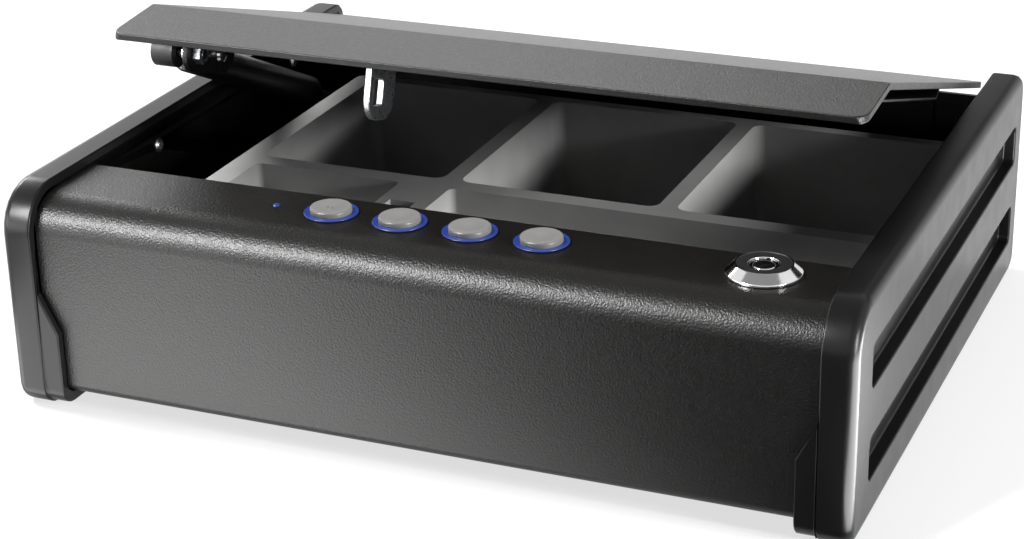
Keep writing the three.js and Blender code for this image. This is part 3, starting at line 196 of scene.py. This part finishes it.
def button_plastic():
    """Satin grey plastic of the buttons."""
    made = Shader("button_plastic", linear("#6f6e6d"), roughness=0.36, specular=0.45)
    made.tint(made.noise(scale=70, detail=3), share=0.05)
    made.rough(made.noise(scale=500, detail=2), share=0.15)
    made.bump(made.noise(scale=3200, detail=2), depth=0.02 * MM, strength=0.3)
    return made.material


def blue_light():
    """Clear plastic lit from below by a blue lamp."""
    made = Shader("blue_light_guide", linear("#1f2d66"), roughness=0.3, specular=0.5)
    made.tint(made.noise(scale=300, detail=3), share=0.06)
    made.rough(made.noise(scale=400, detail=2), share=0.1)
    made.bump(made.noise(scale=2600, detail=1), depth=0.01 * MM, strength=0.1)
    made.glow(linear("#4a62c8"), strength=0.14)
    return made.material


def circuit_board():
    """Green lacquered board."""
    made = Shader("circuit_board", linear("#1d4a33"), roughness=0.35, specular=0.5)
    made.tint(made.noise(scale=220, detail=4), share=0.25)
    made.rough(made.noise(scale=300, detail=2), share=0.2)
    made.bump(made.cells(scale=700), depth=0.04 * MM, strength=0.3)
    return made.material


def cell_sleeve():
    """Shrunk sleeve of a battery."""
    made = Shader("cell_sleeve", linear("#8a6a35"), roughness=0.3, specular=0.5)
    made.tint(made.noise(scale=50, detail=3), share=0.1)
    made.rough(made.noise(scale=300, detail=2), share=0.2)
    made.bump(made.noise(scale=900, detail=1), depth=0.02 * MM, strength=0.2)
    return made.material


def foam_mat():
    """Matt black foam with open cells."""
    made = Shader("foam_mat", linear("#1b1b1b"), roughness=0.9, specular=0.2)
    made.tint(made.noise(scale=120, detail=4), share=0.3)
    made.rough(made.noise(scale=500, detail=3), share=0.08)
    made.bump(made.cells(scale=900), depth=0.25 * MM, strength=0.6)
    return made.material


POWDER = powder_coat()
CAP = cap_plastic()
TRAY = tray_plastic()
ZINC = bare_metal("zinc_plate", "#b4b7ba", roughness=0.32)
CHROME = bare_metal("chrome_plate", "#dcdcdc", roughness=0.12)
BLACK = black_moulding()
BUTTON = button_plastic()
RING = blue_light()
BOARD = circuit_board()
CELL = cell_sleeve()
FOAM = foam_mat()

BY_SLOT = {
    "black_powder": POWDER, "cap_plastic": CAP, "tray_plastic": TRAY, "zinc_steel": ZINC,
    "chrome_steel": CHROME, "black_plastic": BLACK, "button_plastic": BUTTON, "blue_light": RING,
    "board": BOARD, "cell_sleeve": CELL, "mat_foam": FOAM,
}


# CAD nodes: each keeps its vertices, and modifiers weld, round and shade it
SHARP = math.radians(32)
FLAT = math.radians(1)
WELD_REACH = 0.01 * MM
ROUNDING_SEGMENTS = 3
FACE_WEIGHT = 80

# The bevel of each node's sharp edges, in mm. A node that isn't listed keeps its edges crisp
ROUNDINGS = {
    "body_shell": 0.5, "lid_panel": 0.6, "organiser_tray": 0.8, "strike_tongue": 0.4,
    "left_end_cap": 0.9, "right_end_cap": 0.9, "strut_bracket": 0.4, "mechanism_cover": 0.3,
    "left_side_wall": 0.3, "right_side_wall": 0.3, "lid_stiffener": 0.3, "battery_cover": 0.3,
    "lock_nut": 0.3, "ball_stud_nut": 0.3, "latch_housing": 0.3, "mechanism_plate": 0.3,
}

# The short edges on these would hold back the rounding of the long ones
FULLY_ROUNDED = ("left_end_cap", "right_end_cap")


def weld(obj):
    """Joins the frame's loose triangles, drops their stored normals, and merges those in one plane."""
    for name in ("custom_normal", "sharp_edge", "sharp_face"):
        stored = obj.data.attributes.get(name)
        if stored:
            obj.data.attributes.remove(stored)
    obj.data.polygons.foreach_set("use_smooth", [True] * len(obj.data.polygons))
    welded = obj.modifiers.new("weld", "WELD")
    welded.merge_threshold = WELD_REACH
    flat = obj.modifiers.new("flat_faces", "DECIMATE")
    flat.decimate_type = "DISSOLVE"
    flat.angle_limit = FLAT


def round_edges(obj, width, clamp):
    edge = obj.modifiers.new("rounded_edges", "BEVEL")
    edge.width = width
    edge.segments = ROUNDING_SEGMENTS
    edge.limit_method = "ANGLE"
    edge.angle_limit = SHARP
    edge.use_clamp_overlap = clamp


def split_edges(obj):
    edge = obj.modifiers.new("sharp_edges", "EDGE_SPLIT")
    edge.split_angle = SHARP


def even_shading(obj):
    """Large faces shade flat up to their rounded edges."""
    even = obj.modifiers.new("even_shading", "WEIGHTED_NORMAL")
    even.mode = "FACE_AREA"
    even.weight = FACE_WEIGHT


def dress_nodes():
    """Gives each node the material of its slot, and its modifiers."""
    slots = {entry["node"]: entry["material_slot"] for entry in frame["record"]["subparts"]}
    for name, obj in frame["nodes"].items():
        obj.data.materials.clear()
        obj.data.materials.append(BY_SLOT[slots[name]])
        weld(obj)
        if name in ROUNDINGS:
            round_edges(obj, ROUNDINGS[name] * MM, clamp=name not in FULLY_ROUNDED)
        else:
            split_edges(obj)
        even_shading(obj)


# Turned pieces: a smooth lathe form takes the place of the faceted node, at the node's own size
TURNED_SIDES = 96
FILLET_STEPS = 5
DISH_STEPS = 10
ON_AXIS = 0.001 * MM
SEAT_GAP = 0.3 * MM
PLUG_GAP = 0.2 * MM
LEDGE_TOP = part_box("body_shell")[1][2]
BUTTON_COUNT = 4
DOTTED_BUTTON = 1


def filleted(corners):
    """A profile of (radius, height) points from corners that each name their own rounding."""
    points = []
    for index, (radius, height, fillet) in enumerate(corners):
        here = Vector((radius, height))
        if fillet == 0:
            points.append(here)
            continue
        before = Vector(corners[index - 1][:2]) - here
        after = Vector(corners[(index + 1) % len(corners)][:2]) - here
        start = here + before.normalized() * fillet
        end = here + after.normalized() * fillet
        for step in range(FILLET_STEPS + 1):
            share = step / FILLET_STEPS
            points.append(start.lerp(here, share).lerp(here.lerp(end, share), share))
    return points


def dished(rim, top, depth):
    """Profile points from a level rim down to the middle of a shallow dish."""
    radii = [rim * (1 - step / DISH_STEPS) for step in range(DISH_STEPS + 1)]
    return [Vector((r, top - depth * (1 + math.cos(math.pi * r / rim)) / 2)) for r in radii]


def lathe(mesh, profile, opening=0.0):
    """Turns a closed profile about the Z axis. An opening, in radians, is left around +Y."""
    columns = TURNED_SIDES if opening == 0 else TURNED_SIDES + 1
    first = math.pi / 2 + opening / 2
    sweep = math.tau - opening
    angles = [first + sweep * side / TURNED_SIDES for side in range(columns)]
    rings = []
    for radius, height in profile:
        if radius < ON_AXIS:
            rings.append([mesh.verts.new((0, 0, height))] * columns)
            continue
        places = [(radius * math.cos(angle), radius * math.sin(angle), height) for angle in angles]
        rings.append([mesh.verts.new(place) for place in places])
    for inner, outer in zip(rings, rings[1:] + rings[:1]):
        if inner[0] is inner[1] and outer[0] is outer[1]:
            continue
        for side in range(TURNED_SIDES):
            after = (side + 1) % columns
            around = [inner[side], inner[after], outer[after], outer[side]]
            mesh.faces.new(list(dict.fromkeys(around)))
    if opening:
        mesh.faces.new([ring[0] for ring in rings])
        mesh.faces.new([ring[-1] for ring in reversed(rings)])


def add_turned(name, node, body, mesh, materials):
    """Puts a turned mesh on the axis of the node that it stands for."""
    low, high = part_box(node)
    bmesh.ops.recalc_face_normals(mesh, faces=mesh.faces)
    data = bpy.data.meshes.new(name)
    mesh.to_mesh(data)
    mesh.free()
    data.polygons.foreach_set("use_smooth", [True] * len(data.polygons))
    for material in materials:
        data.materials.append(material)
    piece = bpy.data.objects.new(name, data)
    piece.location = ((low[0] + high[0]) / 2, (low[1] + high[1]) / 2, 0)
    bpy.context.scene.collection.objects.link(piece)
    even_shading(piece)
    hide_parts(node)
    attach(piece, body)
    return piece


def half_width(node):
    low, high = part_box(node)
    return (high[0] - low[0]) / 2


def turn_dot(mesh, dish_low):
    """The raised dot that a finger finds in the middle of a button."""
    radius = 1.1 * MM
    rise = 0.75 * MM
    root = 0.1 * MM
    foot = dish_low - root
    top = foot + rise
    lathe(mesh, filleted([(0, foot, 0), (radius, foot, 0), (radius, top, rise), (0, top, 0)]))


def add_button(index):
    """A push button with a soft raised rim around a shallow dish."""
    node = f"button_{index}"
    low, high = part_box(node)
    foot, top = low[2], high[2]
    radius = half_width(node)
    stem = 3.2 * MM
    skirt = 2.6 * MM
    skirt_low = LEDGE_TOP - skirt
    skirt_round = 0.3 * MM
    shoulder = 1.4 * MM
    shoulder_round = 1.2 * MM
    rim = radius - shoulder
    dish = 0.9 * MM
    mesh = bmesh.new()
    side = filleted([
        (0, foot, 0), (stem, foot, 0), (stem, skirt_low, 0), (radius, skirt_low, skirt_round),
        (radius, top, shoulder_round), (rim, top, 0),
    ])
    lathe(mesh, side[:-1] + dished(rim, top, dish))
    if index == DOTTED_BUTTON:
        turn_dot(mesh, top - dish)
    add_turned(f"{node}_moulding", node, f"key_{index}", mesh, [BUTTON])


def add_ring(index):
    """The clear ring that glows around a button."""
    node = f"light_ring_{index}"
    low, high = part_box(node)
    foot, top = low[2], high[2]
    radius = half_width(node)
    bore = half_width(f"button_{index}") + SEAT_GAP
    flange = 1 * MM
    neck = radius - flange
    seat = LEDGE_TOP + SEAT_GAP
    outer_round = 0.35 * MM
    inner_round = 0.2 * MM
    mesh = bmesh.new()
    lathe(mesh, filleted([
        (bore, foot, 0), (neck, foot, 0), (neck, seat, 0), (radius, seat, 0),
        (radius, top, outer_round), (bore, top, inner_round),
    ]))
    add_turned(f"{node}_guide", node, "safe_body", mesh, [RING])


def add_bezel():
    """The chromed lock housing: a conical bezel around a sunk black face."""
    node = "lock_housing"
    low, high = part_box(node)
    foot, top = low[2], high[2]
    radius = half_width(node)
    bore = half_width("lock_plug") + PLUG_GAP
    barrel = 9.4 * MM
    seat = LEDGE_TOP + SEAT_GAP
    seat_round = 0.1 * MM
    band = 0.9 * MM
    band_top = seat + band
    band_round = 0.35 * MM
    crown = 11.0 * MM
    crown_width = 0.5 * MM
    crown_round = 0.3 * MM
    face = crown - crown_width
    face_round = 0.15 * MM
    sink = 0.35 * MM
    sink_round = 0.1 * MM
    mouth_width = 0.45 * MM
    mouth_round = 0.4 * MM
    mesh = bmesh.new()
    lathe(mesh, filleted([
        (bore, foot, 0), (barrel, foot, 0), (barrel, seat, 0), (radius, seat, seat_round),
        (radius, band_top, band_round), (crown, top, crown_round), (face, top, face_round),
        (face - sink / 2, top - sink, sink_round), (bore, top - sink, mouth_round),
    ]))
    piece = add_turned(f"{node}_turned", node, "safe_body", mesh, [CHROME, BLACK])
    for polygon in piece.data.polygons:
        on_face = bore + mouth_width < Vector(polygon.center[:2]).length < face
        polygon.material_index = int(on_face and polygon.center.z > top - 2 * sink)


def add_lock_core():
    """The plug of a tubular lock: a centre post in a ring keyway, with a notch for the key's tab."""
    node = "lock_plug"
    low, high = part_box(node)
    foot, top = low[2], high[2]
    radius = half_width(node)
    wall = 0.6 * MM
    inner = radius - wall
    outer_round = 0.25 * MM
    inner_round = 0.15 * MM
    post = 4.5 * MM
    post_round = 0.8 * MM
    keyway = 7 * MM
    floor = top - keyway
    notch = 1.8 * MM
    mesh = bmesh.new()
    lathe(mesh, filleted([
        (0, foot, 0), (radius, foot, 0), (radius, floor, 0), (post, floor, 0),
        (post, top, post_round), (0, top, 0),
    ]))
    lathe(mesh, filleted([
        (inner, floor, 0), (radius, floor, 0), (radius, top, outer_round), (inner, top, inner_round),
    ]), opening=notch / radius)
    add_turned(f"{node}_turned", node, "key_plug", mesh, [CHROME])


# Stage, light and camera. A card here is seen by reflections only
FLOOR_WHITE = (0.95, 0.95, 0.95)
FLOOR_GLOW = 0.7
FLOOR_HALF = 6
FLOOR_DROP = 0.2 * MM
CARD_BLACK = (0.01, 0.01, 0.01)
CARD_RISE = 0.5 * MM
STAGE_ROUGHNESS = 0.85
STAGE_SPECULAR = 0.1
ROOM_LIGHT = 0.06
STUDIO_WHITE = 1.0


def stage_shader(name, color, strength=0.0):
    """Matt paint, with a white light of its own where the strength isn't 0."""
    made = Shader(name, color, STAGE_ROUGHNESS, specular=STAGE_SPECULAR)
    made.tint(made.noise(scale=3, detail=2), share=0.01)
    made.glow((1, 1, 1), strength)
    return made


def add_sheet(name, corners, material):
    """A flat part of the stage with its corners in order."""
    mesh = bpy.data.meshes.new(name)
    mesh.from_pydata(corners, [], [range(len(corners))])
    sheet = bpy.data.objects.new(name, mesh)
    sheet.data.materials.append(material)
    bpy.context.scene.collection.objects.link(sheet)
    return sheet


def level_rectangle(left, right, front, rear, height):
    return [(left, front, height), (right, front, height), (right, rear, height), (left, rear, height)]


def seen_ray(tree):
    """1 for the rays of the camera, of mirrors and of glass, and 0 for soft light."""
    path = tree.nodes.new("ShaderNodeLightPath")
    share = path.outputs["Is Camera Ray"]
    for kind in ("Is Glossy Ray", "Is Transmission Ray"):
        either = tree.nodes.new("ShaderNodeMath")
        either.operation = "MAXIMUM"
        tree.links.new(share, either.inputs[0])
        tree.links.new(path.outputs[kind], either.inputs[1])
        share = either.outputs[0]
    return share


def mix_shaders(tree, share, first, second, target):
    """Feeds the target with the first shader, and with the second one by the given share."""
    mix = tree.nodes.new("ShaderNodeMixShader")
    tree.links.new(share, mix.inputs["Fac"])
    tree.links.new(first, mix.inputs[1])
    tree.links.new(second, mix.inputs[2])
    tree.links.new(mix.outputs[0], target)


def floor_material():
    """White that keeps a soft shadow, and looks part lit from within where it is seen."""
    made = stage_shader("floor_white", FLOOR_WHITE)
    part = made.node("ShaderNodeMath", operation="MULTIPLY")
    part.inputs[1].default_value = FLOOR_GLOW
    made.link(seen_ray(made.tree), part.inputs[0])
    light = made.node("ShaderNodeEmission")
    target = made.tree.nodes["Material Output"].inputs["Surface"]
    mix_shaders(made.tree, part.outputs[0], made.bsdf.outputs[0], light.outputs[0], target)
    return made.material


def add_floor():
    corners = level_rectangle(-FLOOR_HALF, FLOOR_HALF, -FLOOR_HALF, FLOOR_HALF, 0)
    add_sheet("floor", corners, floor_material()).location.z = -FLOOR_DROP


def add_card(name, corners, material):
    card = add_sheet(name, corners, material)
    card.visible_camera = False
    card.visible_diffuse = False
    card.visible_transmission = False
    card.visible_shadow = False


def add_card_behind():
    """A black card behind the safe, which the level faces mirror to the camera."""
    distance = 1.6
    bottom, top = 0.42, 1.00
    left, right = math.radians(-19), math.radians(48)
    ends = [(distance * math.sin(turn), distance * math.cos(turn)) for turn in (left, right)]
    corners = [(*ends[0], bottom), (*ends[1], bottom), (*ends[1], top), (*ends[0], top)]
    add_card("flag_behind", corners, stage_shader("flag_black", CARD_BLACK).material)


def graded_material():
    """A glow that is full beside the safe at the left, and fades towards the front and right with x - y."""
    glow = 6.0
    full, dark = 0.06, 0.33
    made = stage_shader("graded_card", CARD_BLACK)
    axes = made.node("ShaderNodeSeparateXYZ")
    made.link(made.place, axes.inputs[0])
    across = made.node("ShaderNodeMath", operation="SUBTRACT")
    made.link(axes.outputs["X"], across.inputs[0])
    made.link(axes.outputs["Y"], across.inputs[1])
    fade = made.node("ShaderNodeMapRange", interpolation_type="SMOOTHSTEP", From_Min=full, From_Max=dark,
                     To_Min=glow, To_Max=0.0)
    made.link(across.outputs[0], fade.inputs["Value"])
    made.link(fade.outputs["Result"], made.bsdf.inputs["Emission Strength"])
    return made.material


def add_graded_card():
    """A card on the floor before the safe, which the front mirrors."""
    left, right = -0.26, 1.1
    front = -1.3
    gap = 1 * MM
    corners = level_rectangle(left, right, front, low_before[1] - gap, CARD_RISE)
    add_card("graded_card", corners, graded_material())


def add_corner_card():
    """A bright patch of floor that the right cap's upright front corner mirrors, and no flat face does."""
    glow = 20.0
    corner = Vector((high_before[0], low_before[1], 2 * CARD_RISE))
    inner, outer = 0.010, 0.280
    inner_front, outer_front = -0.046, -0.146
    rear, rear_inner = 0.204, 0.110
    inner_rear = -0.006
    outline = [
        (inner, inner_front), (outer, outer_front), (outer, rear), (rear_inner, rear), (inner, inner_rear),
    ]
    corners = [corner + Vector((x, y, 0)) for x, y in outline]
    add_card("bright_card", corners, stage_shader("bright_card", CARD_BLACK, glow).material)


def add_card_above():
    """A grey card over the safe, so that what mirrors upward sees less than the white studio."""
    glow = 0.3
    half, height = 1.1, 1.7
    corners = level_rectangle(-half, half, -half, half, height)
    add_card("card_above", corners, stage_shader("grey_card", CARD_BLACK, glow).material)


def aim(obj, place, target):
    obj.location = place
    toward = Vector(target) - Vector(place)
    obj.rotation_euler = toward.to_track_quat("-Z", "Y").to_euler()
    bpy.context.scene.collection.objects.link(obj)


def add_sun(name, azimuth, elevation, strength, spread):
    """Broad soft light from far away. The azimuth counts from behind the safe towards its right."""
    lamp = bpy.data.lights.new(name, "SUN")
    lamp.energy = strength
    lamp.angle = math.radians(spread)
    turn, rise = math.radians(azimuth), math.radians(elevation)
    place = (math.sin(turn) * math.cos(rise), math.cos(turn) * math.cos(rise), math.sin(rise))
    obj = bpy.data.objects.new(name, lamp)
    obj.visible_glossy = False
    aim(obj, place, (0, 0, 0))


def add_softbox(name, place, target, size, power):
    """A lit rectangle that is seen in reflections only."""
    lamp = bpy.data.lights.new(name, "AREA")
    lamp.shape = "RECTANGLE"
    lamp.size, lamp.size_y = size
    lamp.energy = power
    obj = bpy.data.objects.new(name, lamp)
    obj.visible_camera = False
    obj.visible_diffuse = False
    aim(obj, place, target)


def add_lights():
    """Suns light the matt surfaces, and softboxes draw the highlights on the glossy ones."""
    middle = (0, 0, 0.10)
    add_sun("top", azimuth=-20, elevation=72, strength=1.0, spread=40)
    add_sun("right", azimuth=94, elevation=17, strength=5.0, spread=18)
    add_sun("left", azimuth=-80, elevation=46, strength=6.0, spread=24)
    add_softbox("key", (-0.90, -1.30, 0.95), target=(-0.05, -0.10, 0.07), size=(0.62, 0.5), power=62)
    add_softbox("behind", (-0.66, 1.35, 1.20), target=middle, size=(1.0, 0.4), power=5.5)
    add_softbox("left_side", (-1.30, 0.74, 0.74), target=middle, size=(0.6, 0.5), power=11)
    add_softbox("low_front", (-0.72, -0.60, 0.03), target=(-0.10, -0.14, 0.05), size=(0.8, 0.4), power=6)
    add_softbox("right_strip", (0.836, -0.356, 0.15), target=(0.17, -0.14, 0.07), size=(0.25, 0.30), power=8)


def white_background(tree, strength):
    light = tree.nodes.new("ShaderNodeBackground")
    light.inputs["Color"].default_value = (1, 1, 1, 1)
    light.inputs["Strength"].default_value = strength
    return light.outputs[0]


def add_world():
    """A white studio: full strength for what the camera, mirrors and glass see, less as room light."""
    world = bpy.data.worlds.new("studio")
    bpy.context.scene.world = world
    world.use_nodes = True
    tree = world.node_tree
    tree.nodes.clear()
    out = tree.nodes.new("ShaderNodeOutputWorld")
    room = white_background(tree, ROOM_LIGHT)
    seen = white_background(tree, STUDIO_WHITE)
    mix_shaders(tree, seen_ray(tree), room, seen, out.inputs["Surface"])


def add_camera():
    """Stands at the front right and looks down on the safe. Lens and sensor are in mm."""
    place = (0.36449, -0.88100, 0.43475)
    right = Vector((0.92194, 0.38677, -0.02062)).normalized()
    ahead = Vector((-0.36350, 0.84562, -0.39090)).normalized()
    up = right.cross(ahead).normalized()
    data = bpy.data.cameras.new("camera")
    data.lens = 82.62
    data.sensor_width = 36
    data.clip_start = 0.01
    data.clip_end = 50
    camera = bpy.data.objects.new("camera", data)
    turn = Matrix((right, up, -ahead)).transposed().to_4x4()
    camera.matrix_world = Matrix.Translation(place) @ turn
    bpy.context.scene.collection.objects.link(camera)
    bpy.context.scene.camera = camera


dress_nodes()
for number in range(1, BUTTON_COUNT + 1):
    add_button(number)
    add_ring(number)
add_bezel()
add_lock_core()

add_floor()
add_card_behind()
add_graded_card()
add_corner_card()
add_card_above()
add_lights()
add_world()
add_camera()
bpy.context.scene.view_settings.view_transform = "Standard"
